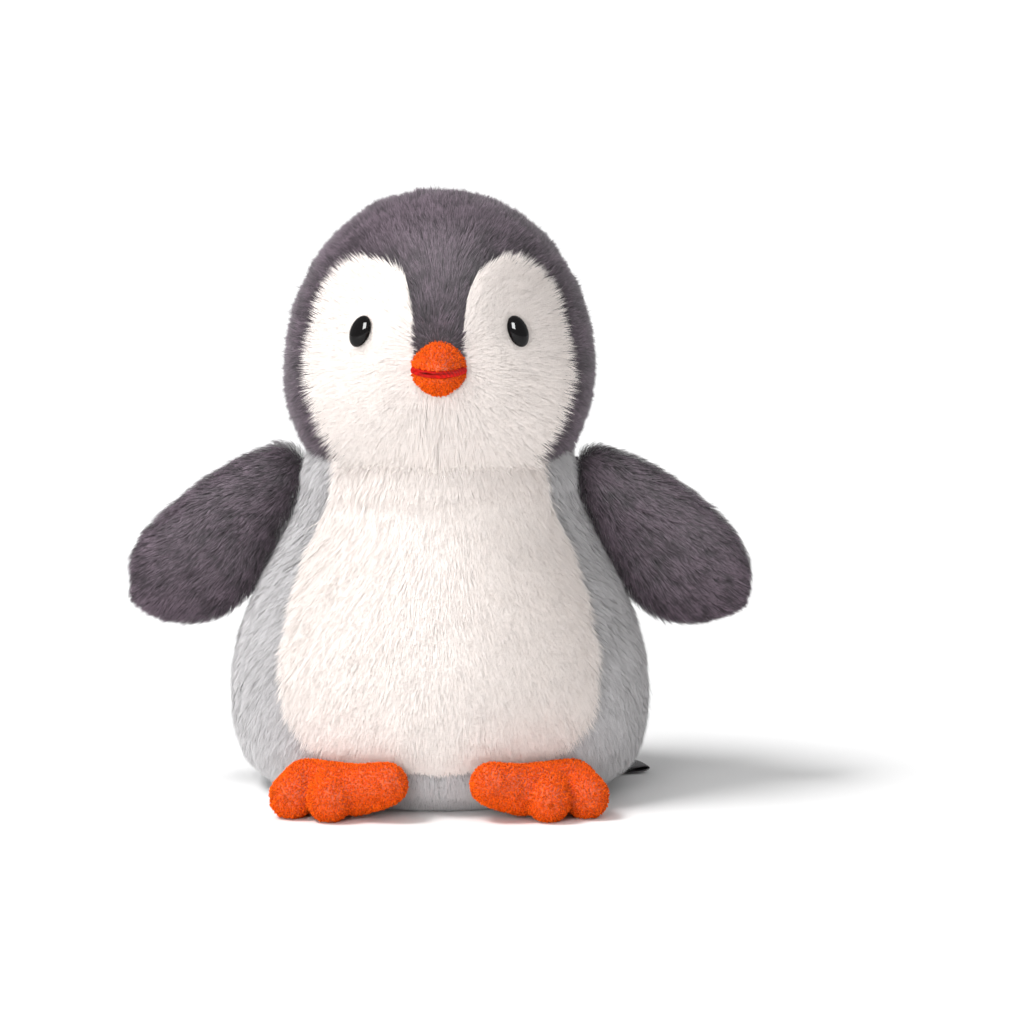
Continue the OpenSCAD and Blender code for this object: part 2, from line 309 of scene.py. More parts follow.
def clip(verts, tris, value):
    """The part of a surface where value, given at each vertex, is above zero."""
    above = value[tris] > 0
    count = above.sum(1)
    points, faces, size = [verts], [tris[count == 3]], len(verts)
    for wanted in (1, 2):
        part = count == wanted
        t = tris[part]
        odd = np.argmax(above[part] == (wanted == 1), axis=1)
        rows = np.arange(len(t))
        a, b, c = (t[rows, (odd + k) % 3] for k in range(3))
        for end in (b, c):
            share = value[a] / (value[a] - value[end])
            points.append(verts[a] + (verts[end] - verts[a]) * share[:, None])
        ab, ac = size + rows, size + len(t) + rows
        size += 2 * len(t)
        if wanted == 1:
            faces.append(np.stack([a, ab, ac], -1))
        else:
            faces += [np.stack([ab, b, c], -1), np.stack([ab, c, ac], -1)]
    return weld(np.concatenate(points), np.concatenate(faces))


def new_piece(name, verts, loops, starts, materials, indices=None):
    """An object from vertices in mm, the vertex of each face corner and each face's first corner."""
    mesh = bpy.data.meshes.new(name)
    mesh.vertices.add(len(verts))
    mesh.vertices.foreach_set("co", (np.asarray(verts)[:, :3] * MM).astype(np.float32).ravel())
    mesh.loops.add(len(loops))
    mesh.loops.foreach_set("vertex_index", np.asarray(loops, np.int32))
    mesh.polygons.add(len(starts))
    mesh.polygons.foreach_set("loop_start", np.asarray(starts, np.int32))
    for material in materials:
        mesh.materials.append(material)
    if indices is not None:
        mesh.polygons.foreach_set("material_index", np.asarray(indices, np.int32))
    mesh.update(calc_edges=True)
    mesh.shade_smooth()
    piece = bpy.data.objects.new(name, mesh)
    bpy.context.scene.collection.objects.link(piece)
    return piece


def skin_piece(name, skin, material, thickness=0.8):
    """A skin as a fabric of its real thickness."""
    verts, tris = skin
    piece = new_piece(name, verts, tris.ravel(), np.arange(0, tris.size, 3), [material])
    solid = piece.modifiers.new("Fabric", "SOLIDIFY")
    solid.thickness = thickness * MM
    solid.offset = -1
    return piece


def on_body(piece, body, slot, *nodes):
    """Says which CAD body a piece rides on and hides the CAD nodes that it stands for; slot is not used."""
    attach(piece, body)
    if nodes:
        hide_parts(*nodes)
    return piece


# ---------------------------------------------------------------- materials


def add_node(tree, kind, settings=None, links=None):
    """Adds a node, sets its sockets and properties, and links its inputs."""
    node = tree.nodes.new(kind)
    for key, value in (settings or {}).items():
        if isinstance(key, str) and hasattr(node, key):
            setattr(node, key, value)
        else:
            node.inputs[key].default_value = value
    feed(tree, node, links or {})
    return node


def feed(tree, node, links):
    """Links outputs to a node's inputs."""
    for key, source in links.items():
        tree.links.new(source, node.inputs[key])


def new_material(name, sockets):
    """A node material with its shader's own sockets set, its shader and its tree."""
    material = bpy.data.materials.new(name)
    material.use_nodes = True
    tree = material.node_tree
    shader = tree.nodes["Principled BSDF"]
    for socket, value in sockets.items():
        shader.inputs[socket].default_value = value
    return material, shader, tree


def shade(colour, factor):
    """A linear colour made lighter or darker, with its alpha."""
    return tuple(min(c * factor, 1) for c in colour[:3]) + (1,)


def pile_materials(name, colour, painted_root_shade_tip_light, spread, sheen):
    """Polyester pile fibre, drawn and cut: soft, slightly silky, with painted shade at the root and painted
    light at the tip.

    Each lock takes one of three shades, and its root, middle and tip are materials of their own,
    so that the colour runs along real geometry. The sheen frosts the outline, as cut pile does.
    """
    out = []
    for shade_name, strength in (("deep", 1 - spread), ("even", 1.0), ("frosted", 1 + spread)):
        # The root's tone is painted shade deep in the pile, the tip's tone painted light on the outer fibres
        for part, tone in zip(("root", "middle", "tip"), painted_root_shade_tip_light):
            out.append(new_material(f"{name}_{shade_name}_{part}", {
                "Base Color": shade(colour, strength * tone), "Roughness": 0.62, "IOR": 1.54,
                "Specular IOR Level": 0.25, "Sheen Weight": sheen, "Sheen Roughness": 0.4,
            })[0])
    return out


def knit_backing(name, colour, dark=0.55):
    """Warp-knit ground fabric under the pile: fine ribs 1.1 mm apart with fibre fuzz between."""
    material, shader, tree = new_material(name, {"Roughness": 0.9})
    place = add_node(tree, "ShaderNodeTexCoord")
    ribs = add_node(
        tree, "ShaderNodeTexWave", {"Scale": 1 / (1.1 * MM) / 6.28, "Distortion": 2.0, "Detail": 3.0},
        {"Vector": place.outputs["Object"]},
    )
    fuzz = add_node(tree, "ShaderNodeTexNoise", {"Scale": 1 / (0.9 * MM), "Detail": 5.0},
                    {"Vector": place.outputs["Object"]})
    ramp = add_node(
        tree, "ShaderNodeMix",
        {"data_type": "RGBA", "A": shade(colour, dark), "B": shade(colour, 0.98)},
        {"Factor": fuzz.outputs["Fac"]},
    )
    bump = add_node(tree, "ShaderNodeBump", {"Strength": 0.5, "Distance": 0.3 * MM},
                    {"Height": ribs.outputs["Fac"]})
    feed(tree, shader, {"Base Color": ramp.outputs["Result"], "Normal": bump.outputs["Normal"]})
    return material


def fleece_materials(name, colour):
    """Looped polyester fleece yarn: matt, crimped, three close shades of one dye."""
    out = []
    for shade_name, strength in (("deep", 0.72), ("even", 0.95), ("bright", 1.2)):
        out.append(new_material(f"{name}_{shade_name}", {
            "Base Color": shade(colour, strength), "Roughness": 0.8, "Specular IOR Level": 0.06,
        })[0])
    return out


def fleece_ground(name, colour):
    """Ground of the looped fleece, with painted shade as dark pits between loops 0.7 mm apart."""
    material, shader, tree = new_material(name, {"Roughness": 0.85})
    place = add_node(tree, "ShaderNodeTexCoord")
    cells = add_node(
        tree, "ShaderNodeTexVoronoi", {"Scale": 1 / (0.7 * MM)}, {"Vector": place.outputs["Object"]}
    )
    # Painted shade: the ground darker away from each loop, as the shade in the pits between loops
    mix = add_node(
        tree, "ShaderNodeMix",
        {"data_type": "RGBA", "A": shade(colour, 0.95), "B": shade(colour, 0.55)},
        {"Factor": cells.outputs["Distance"]},
    )
    bump = add_node(
        tree, "ShaderNodeBump", {"Strength": 0.8, "Distance": 0.4 * MM, "invert": True},
        {"Height": cells.outputs["Distance"]},
    )
    feed(tree, shader, {"Base Color": mix.outputs["Result"], "Normal": bump.outputs["Normal"]})
    return material


def polished_plastic(name, colour):
    """Injection-moulded, polished ABS: a hard, clear highlight with a hair of uneven polish."""
    material, shader, tree = new_material(
        name, {"Base Color": shade(colour, 1), "IOR": 1.54, "Specular IOR Level": 0.2}
    )
    place = add_node(tree, "ShaderNodeTexCoord")
    haze = add_node(
        tree, "ShaderNodeTexNoise", {"Scale": 1 / (1.5 * MM)}, {"Vector": place.outputs["Object"]}
    )
    rough = add_node(
        tree, "ShaderNodeMapRange", {"To Min": 0.03, "To Max": 0.09}, {"Value": haze.outputs["Fac"]}
    )
    tree.links.new(rough.outputs["Result"], shader.inputs["Roughness"])
    return material


def moulded_plastic(name, colour):
    """Moulded polypropylene: dull and waxy, with fine mould grain."""
    material, shader, tree = new_material(name, {"Base Color": shade(colour, 1), "IOR": 1.49})
    place = add_node(tree, "ShaderNodeTexCoord")
    grain = add_node(
        tree, "ShaderNodeTexNoise", {"Scale": 1 / (0.5 * MM)}, {"Vector": place.outputs["Object"]}
    )
    rough = add_node(
        tree, "ShaderNodeMapRange", {"To Min": 0.4, "To Max": 0.55}, {"Value": grain.outputs["Fac"]}
    )
    tree.links.new(rough.outputs["Result"], shader.inputs["Roughness"])
    return material


def spun_thread(name, colour):
    """Two-ply spun polyester thread: a twist every 0.6 mm, with painted light on one side of each turn and
    painted shade on the other.
    """
    material, shader, tree = new_material(name, {"Roughness": 0.55, "Specular IOR Level": 0.15})
    place = add_node(tree, "ShaderNodeTexCoord")
    twist = add_node(
        tree, "ShaderNodeTexWave",
        {"Scale": 1 / (0.6 * MM) / 6.28, "Distortion": 1.0, "bands_direction": "DIAGONAL"},
        {"Vector": place.outputs["Object"]},
    )
    # Painted light and shade along the twist of the thread
    mix = add_node(
        tree, "ShaderNodeMix",
        {"data_type": "RGBA", "A": shade(colour, 0.7), "B": shade(colour, 1.1)},
        {"Factor": twist.outputs["Fac"]},
    )
    tree.links.new(mix.outputs["Result"], shader.inputs["Base Color"])
    return material


def woven_ribbon(name, colour):
    """Woven polyester ribbon: a satin face with threads 0.35 mm apart both ways."""
    material, shader, tree = new_material(name, {"Roughness": 0.45})
    place = add_node(tree, "ShaderNodeTexCoord")
    waves = [
        add_node(tree, "ShaderNodeTexWave", {"Scale": 1 / (0.35 * MM) / 6.28, "bands_direction": way},
                 {"Vector": place.outputs["Object"]})
        for way in ("X", "Y")
    ]
    weave = add_node(
        tree, "ShaderNodeMath", {"operation": "MULTIPLY"},
        {0: waves[0].outputs["Fac"], 1: waves[1].outputs["Fac"]},
    )
    mix = add_node(
        tree, "ShaderNodeMix",
        {"data_type": "RGBA", "A": shade(colour, 0.6), "B": shade(colour, 1.5)},
        {"Factor": weave.outputs["Value"]},
    )
    bump = add_node(
        tree, "ShaderNodeBump", {"Strength": 0.4, "Distance": 0.1 * MM}, {"Height": weave.outputs["Value"]}
    )
    feed(tree, shader, {"Base Color": mix.outputs["Result"], "Normal": bump.outputs["Normal"]})
    return material


def loose_fibre(name, colour):
    """Carded polyester fibre: a matt white cloud with strands about 1 mm apart."""
    material, shader, tree = new_material(name, {"Roughness": 0.95})
    place = add_node(tree, "ShaderNodeTexCoord")
    strands = add_node(
        tree, "ShaderNodeTexNoise", {"Scale": 1 / (1.0 * MM), "Detail": 6.0, "Distortion": 2.0},
        {"Vector": place.outputs["Object"]},
    )
    mix = add_node(
        tree, "ShaderNodeMix",
        {"data_type": "RGBA", "A": shade(colour, 0.8), "B": shade(colour, 1)},
        {"Factor": strands.outputs["Fac"]},
    )
    bump = add_node(
        tree, "ShaderNodeBump", {"Strength": 0.6, "Distance": 0.5 * MM}, {"Height": strands.outputs["Fac"]}
    )
    feed(tree, shader, {"Base Color": mix.outputs["Result"], "Normal": bump.outputs["Normal"]})
    return material


# ---------------------------------------------------------------- pile


def scatter(skin, per_mm2, rng):
    """Places and normals spread evenly at random over a skin."""
    verts, tris = skin
    corners = verts[tris]
    area = np.linalg.norm(
        np.cross(corners[:, 1, :3] - corners[:, 0, :3], corners[:, 2, :3] - corners[:, 0, :3]), axis=1
    ) / 2
    upto = np.cumsum(area)
    n = max(int(upto[-1] * per_mm2), 1)
    pick = np.minimum(np.searchsorted(upto, (np.arange(n) + rng.random(n)) / n * upto[-1]), len(tris) - 1)
    a, b = rng.random(n), rng.random(n)
    a, b = np.where(a + b > 1, 1 - a, a), np.where(a + b > 1, 1 - b, b)
    spot = corners[pick, 0] + (corners[pick, 1] - corners[pick, 0]) * a[:, None]
    spot = spot + (corners[pick, 2] - corners[pick, 0]) * b[:, None]
    return spot[:, :3], unit(spot[:, 3:])


def pile(name, skin, materials, flow, length, body, slot, seed, density=1.0, lay=(38, 78), clump=0.4,
         wander=0.3, soft=0.8, ruffle=1.0, rise=None, darken=None, thick=1.0):
    """Pile on a skin: tapered locks of fibre that lean along flow and gather into tufts.

    flow and length give, at the roots, the way that the pile is brushed and its length, and rise
    how many degrees more it stands up. darken paints shade: it takes locks towards the deep shade.
    lay is the lean from straight up, in degrees, at the root and at the tip. ruffle is how unevenly
    the locks stand, wander how far they turn from the flow, and clump how closely their tips gather.
    soft is the share of the skin's own roundness in the way that a lock is lit, and thick widens the locks.
    """
    settings = bpy.context.scene.penguin_pile
    rng = np.random.default_rng(seed)
    roots, normals = scatter(skin, settings.density * density, rng)
    reach = length(roots)
    grows = reach > 0.3
    roots, normals, reach = roots[grows], normals[grows], reach[grows]
    n = len(roots)
    ahead = flow(roots)
    ahead = unit(ahead - normals * (ahead * normals).sum(1, keepdims=True))
    across = np.cross(normals, ahead)
    yaw = wander * (0.8 * soft_noise(roots, 9, seed) + 0.9 * soft_noise(roots, 2.6, seed + 1))
    yaw = (yaw + rng.normal(0, 0.12, n))[:, None]
    ahead = ahead * np.cos(yaw) + across * np.sin(yaw)
    across = np.cross(normals, ahead)
    stray = rng.random(n) < STRAY_SHARE
    reach = reach * (0.8 + 0.35 * rng.random(n)) * (1 + 0.1 * soft_noise(roots, 6, seed + 2))
    lift = ruffle * (7 * soft_noise(roots, 4, seed + 3) + rng.normal(0, 5, n)) + 16 * stray
    if rise is not None:
        lift += rise(roots)
    path = [roots - ROOT_DEPTH * normals]
    for k in range(3):
        lean = np.radians(np.clip(lay[0] + (lay[1] - lay[0]) * k / 2 - lift, 5, 86))[:, None]
        path.append(path[-1] + (normals * np.cos(lean) + ahead * np.sin(lean)) * (reach / 3)[:, None])
    path = np.stack(path, 1)
    path = gather(path, roots, clump, rng)
    path[:, 1:, 2] = np.maximum(path[:, 1:, 2], 0.25 + 0.5 * rng.random((n, 1)))
    width = thick * settings.strand_width * (0.75 + 0.5 * rng.random(n))
    roll = rng.uniform(-0.9, 0.9, n)[:, None]
    along = unit(path[:, 3] - path[:, 0])
    wide = unit(np.cross(along, normals))
    wide = wide * np.cos(roll) + np.cross(along, wide) * np.sin(roll)
    lit = unit(soft * normals + (1 - soft) * unit(np.cross(wide, along)))
    tone = 1.4 * soft_noise(roots, 3.2, seed + 4) + rng.normal(0, 0.9, n)
    # Painted shade: darken moves locks towards the deep shade where the pile lies in shadow
    if darken is not None:
        tone -= darken(roots)
    tone = np.digitize(tone, (-0.55, 0.55))
    parts = math.ceil(n / STRANDS_IN_A_PIECE)
    order = np.argsort(roots[:, 2], kind="stable")
    for i, chosen in enumerate(np.array_split(order, parts)):
        label = name if parts == 1 else f"{name}_{i + 1}"
        parts_of_locks = (values[chosen] for values in (path, wide, width, tone, lit))
        on_body(locks(label, *parts_of_locks, materials), body, slot)


def gather(path, roots, clump, rng):
    """Draws each lock's upper part towards its nearest tuft."""
    n = len(roots)
    guides = rng.choice(n, max(n // LOCKS_IN_A_TUFT, 1), replace=False)
    tree = KDTree(len(guides))
    for i, g in enumerate(guides):
        tree.insert(roots[g], i)
    tree.balance()
    near = guides[np.array([tree.find(r)[1] for r in roots])]
    pull = clump * (0.5 + 0.5 * rng.random((n, 1)))
    out = path.copy()
    for k, share in ((1, 0.25), (2, 0.65), (3, 1.0)):
        out[:, k] += (path[near, k] - path[:, k]) * pull * share
    return out


def locks(name, path, wide, width, tone, lit, materials):
    """Mesh of flat, tapered locks of fibre: two four-sided faces and a pointed one each."""
    n = len(path)
    half = (wide * width[:, None] / 2)[:, None, :] * np.array([1.0, 0.95, 0.62])[None, :, None]
    verts = np.empty((n, 7, 3))
    verts[:, 0:6:2] = path[:, :3] - half
    verts[:, 1:6:2] = path[:, :3] + half
    verts[:, 6] = path[:, 3]
    first = np.arange(n)[:, None] * 7
    loops = (first + np.array([0, 1, 3, 2, 2, 3, 5, 4, 4, 5, 6])).ravel()
    starts = (np.arange(n)[:, None] * 11 + np.array([0, 4, 8])).ravel()
    indices = (tone[:, None] * 3 + np.array([0, 1, 2])).ravel()
    piece = new_piece(name, verts.reshape(-1, 3), loops, starts, materials, indices)
    normals = piece.data.attributes.new("custom_normal", "FLOAT_VECTOR", "POINT")
    normals.data.foreach_set("vector", np.repeat(lit, 7, axis=0).astype(np.float32).ravel())
    return piece


def loops_of_yarn(name, skin, materials, body, slot, seed):
    """Looped fleece: small crimped arches of yarn, turned every way."""
    trim = bpy.context.scene.penguin_trim
    rng = np.random.default_rng(seed)
    roots, normals = scatter(skin, trim.loops, rng)
    n = len(roots)
    swirl = rng.random(n) * 2 * math.pi
    side = unit(np.cross(normals, np.array([0.31, 0.22, 0.92])))
    ahead = side * np.cos(swirl)[:, None] + np.cross(normals, side) * np.sin(swirl)[:, None]
    across = np.cross(normals, ahead)
    high = trim.loop_height * (0.6 + 0.7 * rng.random(n))
    span = 0.55 * (0.7 + 0.6 * rng.random(n))
    tilt = 0.5 * rng.normal(0, 1, n)
    yarn_r = 0.15
    rings = []
    for angle in np.radians([0, 50, 90, 130, 180]):
        middle = roots + ahead * (span * math.cos(angle) * 0.5)[:, None]
        middle = middle + normals * (high * math.sin(angle) - 0.1)[:, None]
        middle = middle + across * (tilt * 0.35 * math.sin(angle))[:, None]
        out = ahead * math.cos(angle) + normals * math.sin(angle)
        for k in range(3):
            spin = 2 * math.pi * k / 3
            rings.append(middle + yarn_r * (out * math.cos(spin) + across * math.sin(spin)))
    verts = np.stack(rings, 1)
    verts[..., 2] = np.maximum(verts[..., 2], 0.05)
    quads = [
        [r * 3 + k, r * 3 + (k + 1) % 3, r * 3 + 3 + (k + 1) % 3, r * 3 + 3 + k]
        for r in range(4) for k in range(3)
    ]
    corner = np.array(quads).ravel()
    loops = (np.arange(n)[:, None] * 15 + corner).ravel()
    starts = np.arange(0, loops.size, 4)
    indices = np.repeat(rng.integers(0, 3, n), len(quads))
    return on_body(new_piece(name, verts.reshape(-1, 3), loops, starts, materials, indices), body, slot)


def tubes(name, paths, radius, material, sides=6):
    """Threads: one round tube along each path, closed at its ends."""
    verts, loops, starts = [], [], []
    for path in paths:
        path = np.array(path, float)
        along = unit(np.gradient(path, axis=0))
        side = unit(np.cross(along, np.array([0.2, 0.3, 0.93])))
        up = np.cross(along, side)
        first = len(verts)
        for p, s, u in zip(path, side, up):
            for k in range(sides):
                spin = 2 * math.pi * k / sides
                verts.append(p + radius * (s * math.cos(spin) + u * math.sin(spin)))
        for r in range(len(path) - 1):
            for k in range(sides):
                a, b = first + r * sides + k, first + r * sides + (k + 1) % sides
                starts.append(len(loops))
                loops += [a, a + sides, b + sides, b]
        for r, step in ((0, 1), (len(path) - 1, -1)):
            starts.append(len(loops))
            loops += [first + r * sides + k for k in range(sides)][::step]
    return new_piece(name, np.array(verts), loops, starts, [material])


# ---------------------------------------------------------------- the body's and head's forms


def flank_top():
    """Radius and height at which the flank meets the round of the neck."""
    rise = 10
    return math.sqrt(NECK_BALL_R**2 - rise**2), NECK_PIVOT[2] + rise


def body_outline(inset=0, top=NECK_SKIN_TOP):
    """Radii and heights of the body's skin, from the edge of the base up."""
    r_top, z_top = flank_top()
    points = [(r, inset) for r in np.arange(0, BASE_R - inset, 2.5)]
    for a in np.radians(np.arange(-90, 1, 4)):
        points.append((
            BASE_R + (BODY_R - BASE_R - inset) * math.cos(a),
            BODY_WIDE_Z + (BODY_WIDE_Z - inset) * math.sin(a),
        ))
    for u in np.arange(0.025, 1.001, 0.025):
        draw_in = (math.cos(math.pi * u**FLANK_FULLNESS) + 1) / 2
        points.append((r_top - inset + (BODY_R - r_top) * draw_in, BODY_WIDE_Z + (z_top - BODY_WIDE_Z) * u))
    for z in np.arange(z_top + 1.5, top + 0.1, 1.5):
        points.append((math.sqrt(NECK_BALL_R**2 - (z - NECK_PIVOT[2]) ** 2) - inset, z))
    return points


def head_outline(inset=0):
    """Radii and heights of the head's skin, from its lower edge up."""
    low = math.degrees(math.asin((HEAD_RIM - HEAD_WIDE_Z) / HEAD_UNDER))
    points = []
    for a in np.radians(np.arange(low, 0, 4)):
        points.append(((HEAD_R - inset) * math.cos(a), HEAD_WIDE_Z + (HEAD_UNDER - inset) * math.sin(a)))
    for a in np.radians(np.arange(0, 90.1, 2.5)):
        round_off = 0.94
        points.append((
            (HEAD_R - inset) * abs(math.cos(a)) ** round_off,
            HEAD_WIDE_Z + (HEAD_TOP - HEAD_WIDE_Z - inset) * math.sin(a) ** round_off,
        ))
    return points


def belly_depth(verts):
    """Distance inside the belly's seam, negative outside it and behind the toy's middle."""
    edge = curve_through(BELLY_SEAM, 4)
    outline = np.concatenate([edge, (edge * (-1, 1))[-2::-1]])
    return np.minimum(depth_inside(verts[:, [0, 2]], outline), -verts[:, 1])


def face_depth(verts, side):
    """Distance inside the seam of one side of the face."""
    outline = np.concatenate([[(0, 147)], curve_through(FACE_SEAM, 4), [(0, 112)]]) * (side, 1)
    return np.minimum(depth_inside(verts[:, [0, 2]], outline), -verts[:, 1])


def sew(skin, seams, deep=0.9):
    """Draws a skin in along its seams, which are distances from them at the vertices."""
    verts, tris = skin
    near = np.min(np.abs(np.stack(seams)), axis=0)
    verts = verts.copy()
    verts[:, :3] -= verts[:, 3:] * (deep * np.exp(-((near / 1.6) ** 2)))[:, None]
    return verts, tris


def away_from(point, sag=0.0):
    """A flow that leads away from a point, with a share of it downwards."""
    def flow(roots):
        out = unit(roots - np.array(point))
        out[:, 2] -= sag
        return out
    return flow


# ---------------------------------------------------------------- operators


class PENGUIN_OT_body(bpy.types.Operator):
    """Make the belly, the two sides and the base, with their pile"""

    bl_idname = "penguin.body"
    bl_label = "Body"

    def execute(self, context):
        pile_settings = context.scene.penguin_pile
        whole, tris = turned(body_outline(), 220, 0.5, 11)
        belly = belly_depth(whole)
        base = BASE_R - 0.6 - np.hypot(whole[:, 0], whole[:, 1])
        base = np.where(whole[:, 2] < 5, base, -1)
        whole, tris = sew((whole, tris), [belly, np.where(whole[:, 1] > 0, whole[:, 0], 99)])
        whole[:, 2] = np.maximum(whole[:, 2], 0.9)
        # Root, middle and tip tones below: a darker root is painted shade, a lighter tip painted light
        white = pile_materials("white_polyester_pile", pile_settings.white, (1.0, 1.0, 1.02), 0.02, 0.3)
        light_grey = pile_settings.light_grey
        grey = pile_materials("light_grey_polyester_pile", light_grey, (0.68, 0.95, 1.04), 0.08, 0.3)
        sides = -np.maximum(belly, base)
        panels = {
            "belly_panel": (belly, white, "white_plush", pile_settings.white),
            "body_side_left": (np.minimum(sides, whole[:, 0]), grey, "light_grey_plush", light_grey),
            "body_side_right": (np.minimum(sides, -whole[:, 0]), grey, "light_grey_plush", light_grey),
            "base_panel": (base, grey, "light_grey_plush", light_grey),
        }

        def down(roots):
            behind = np.where(roots[:, 1] > 0, 0.25, 0)
            return np.stack([roots[:, 0] * 0.012, behind, np.full(len(roots), -1.0)], -1)

        def outwards(roots):
            return roots * (1, 1, 0) + (0, 0.01, 0)

        def white_length(roots):
            by_base = np.clip((roots[:, 2] - 12) / 14, 0.3, 1)
            return pile_settings.length * by_base * (1 + 0.25 * np.exp(-belly_depth(roots) / 2.5))

        def white_rise(roots):
            return 9 * np.exp(-belly_depth(roots) / 2)

        def grey_length(roots):
            by_base = np.clip((roots[:, 2] - 1) / 14, 0.35, 1)
            return pile_settings.length * by_base * (1 - 0.45 * np.exp(belly_depth(roots).clip(-20, 0) / 3))

        # Painted shade: the grey pile takes the deep shade along the belly's seam and low in front between
        # the feet
        def painted_shade_at_seam_and_feet(roots):
            in_front = np.clip(-roots[:, 1] / 20, 0, 1) * (np.abs(roots[:, 0]) < 30)
            return 1.3 * np.exp(belly_depth(roots).clip(-30, 0) / 2.5) + 3 * in_front * (roots[:, 2] < 16)

        def base_length(roots):
            return np.full(len(roots), 3.0)

        for i, (node, (depth, pile_mats, slot, colour)) in enumerate(panels.items()):
            skin = clip(whole, tris, depth)
            backing = knit_backing(f"{node}_knit_backing", colour, 0.95 if slot == "white_plush" else 0.6)
            on_body(skin_piece(f"{node}_skin", skin, backing), "body", slot, node)
            if node == "base_panel":
                how = {"flow": outwards, "length": base_length, "density": 0.3, "lay": (80, 86)}
            elif node == "belly_panel":
                how = {
                    "flow": down, "length": white_length, "soft": 0.97, "clump": 0.05, "wander": 0.15,
                    "ruffle": 0.25, "rise": white_rise, "thick": 1.25, "lay": (58, 84), "density": 1.15,
                }
            else:
                how = {
                    "flow": down, "length": grey_length, "soft": 0.9, "ruffle": 0.5, "clump": 0.25,
                    "wander": 0.2, "darken": painted_shade_at_seam_and_feet,
                }
            pile(f"{node}_pile", skin, pile_mats, body="body", slot=slot, seed=40 + i, **how)
        return {"FINISHED"}


class PENGUIN_OT_head(bpy.types.Operator):
    """Make the face, the crown gusset and the head's sides, with their pile"""

    bl_idname = "penguin.head"
    bl_label = "Head"

    def execute(self, context):
        pile_settings = context.scene.penguin_pile
        whole, tris = turned(head_outline(), 200, 0.4, 23)
        faces = {side: face_depth(whole, side) for side in (LEFT, RIGHT)}
        face = np.maximum(faces[LEFT], faces[RIGHT])
        gusset = GUSSET_HALF - np.abs(whole[:, 0])
        chin = (np.abs(whole[:, 0]) < 4) & (whole[:, 2] < MOUTH_Z)
        whole, tris = sew((whole, tris), [np.where(chin, 99, face), np.where(face > 0, 99, gusset)], 0.15)
        white = pile_materials("face_polyester_pile", pile_settings.white, (1.0, 1.0, 1.02), 0.02, 0.3)
        # Root, middle and tip tones: a darker root is painted shade, a lighter tip painted light
        dark = pile_materials("dark_polyester_pile", pile_settings.dark_grey, (0.34, 0.74, 1.25), 0.5, 1.0)
        dark_grey = pile_settings.dark_grey
        head_sides = np.minimum(-face, -gusset)
        beak = (0, BEAK_LOW[1] + 6, MOUTH_Z + 3)
        fan = away_from(beak, 0.12)

        def flow(roots):
            out = fan(roots)
            out[:, 0] *= np.where(roots[:, 2] < MOUTH_Z, np.clip(np.abs(roots[:, 0]) / 14, 0, 1), 1)
            return out

        def outside_face(roots):
            return -np.maximum(face_depth(roots, LEFT), face_depth(roots, RIGHT))

        def white_rise(roots):
            on_rim = np.exp(outside_face(roots).clip(-30, 0) / 1.6) * (np.abs(roots[:, 0]) > 4)
            return 13 * on_rim * np.clip((np.abs(roots[:, 0]) - 9) / 8, 0.3, 1)

        # Painted shade: the dark pile takes the deep shade next to the face's seam
        def painted_shade_near_face(roots):
            return 2.2 * np.exp(-outside_face(roots) / 5) - 0.5

        def pile_length(roots):
            gap = outside_face(roots)
            out = pile_settings.length * 0.95 * np.where(
                gap > 0, 1 - 0.5 * np.exp(-gap / 3), 1 + 0.4 * np.exp(gap.clip(-30, 0) / 2)
            )
            out *= 1 + 0.35 * np.exp((HEAD_RIM - roots[:, 2]) / 3)
            for side in (LEFT, RIGHT):
                gap = np.linalg.norm(roots - EYE[side], axis=1)
                out = np.minimum(out, np.where(gap < 4.6, 0, 1.6 + 0.42 * (gap - 4.6)))
            gap = np.linalg.norm(roots - beak, axis=1)
            return np.minimum(out, np.where(gap < 9, 0, 2.5 + 0.35 * (gap - 9)))

        panels = {
            "face_panel_left": (faces[LEFT], white, "white_plush", pile_settings.white),
            "face_panel_right": (faces[RIGHT], white, "white_plush", pile_settings.white),
            "crown_gusset": (np.minimum(-face, gusset), dark, "dark_plush", dark_grey),
            "head_side_left": (np.minimum(head_sides, whole[:, 0]), dark, "dark_plush", dark_grey),
            "head_side_right": (np.minimum(head_sides, -whole[:, 0]), dark, "dark_plush", dark_grey),
        }
        for i, (node, (depth, pile_mats, slot, colour)) in enumerate(panels.items()):
            skin = clip(whole, tris, depth)
            pale = slot == "white_plush"
            backing = knit_backing(f"{node}_knit_backing", colour, 0.95 if pale else 0.5)
            on_body(skin_piece(f"{node}_skin", skin, backing), "head", slot, node)
            pile(f"{node}_pile", skin, pile_mats, flow, pile_length, "head", slot, 60 + i, density=1.1,
                 soft=0.97 if pale else 0.6, clump=0.08 if pale else 0.5, ruffle=0.5 if pale else 1.0,
                 rise=white_rise if pale else None, darken=None if pale else painted_shade_near_face,
                 thick=1.25 if pale else 1.0)
        return {"FINISHED"}


def flipper_form(side, inset=0.0, rings=26, around=160):
    """Form of a flipper, as the two halves on either side of its seam."""
    seam = curve_through(FLIPPER_SEAM, 12, closed=True)
    turn = np.linspace(0, len(seam), around, endpoint=False)
    closed = np.append(seam, seam[:1], axis=0)
    seam = np.stack([np.interp(turn, np.arange(len(closed)), closed[:, k]) for k in (0, 1)], -1)
    middle = np.array(FLIPPER_MIDDLE)
    seam = middle + (seam - middle) * (1 - inset / 18)
    share = np.sin(np.linspace(0, math.pi / 2, rings))
    halves = []
    for facing in (-1, 1):
        spot = middle + (seam[None] - middle) * share[:, None, None]
        thick = (FLIPPER_HALF_T - inset) * (1 - share**2.6) ** 0.5
        verts = np.stack([
            (SHOULDER[0] + spot[..., 0]) * side,
            np.broadcast_to(SHOULDER[1] + facing * thick[:, None], spot.shape[:2]),
            SHOULDER[2] + spot[..., 1],
        ], -1).reshape(-1, 3)
        tris = grid_tris(rings, around)
        if facing * side > 0:
            tris = tris[:, ::-1]
        halves.append((verts, tris))
    return halves


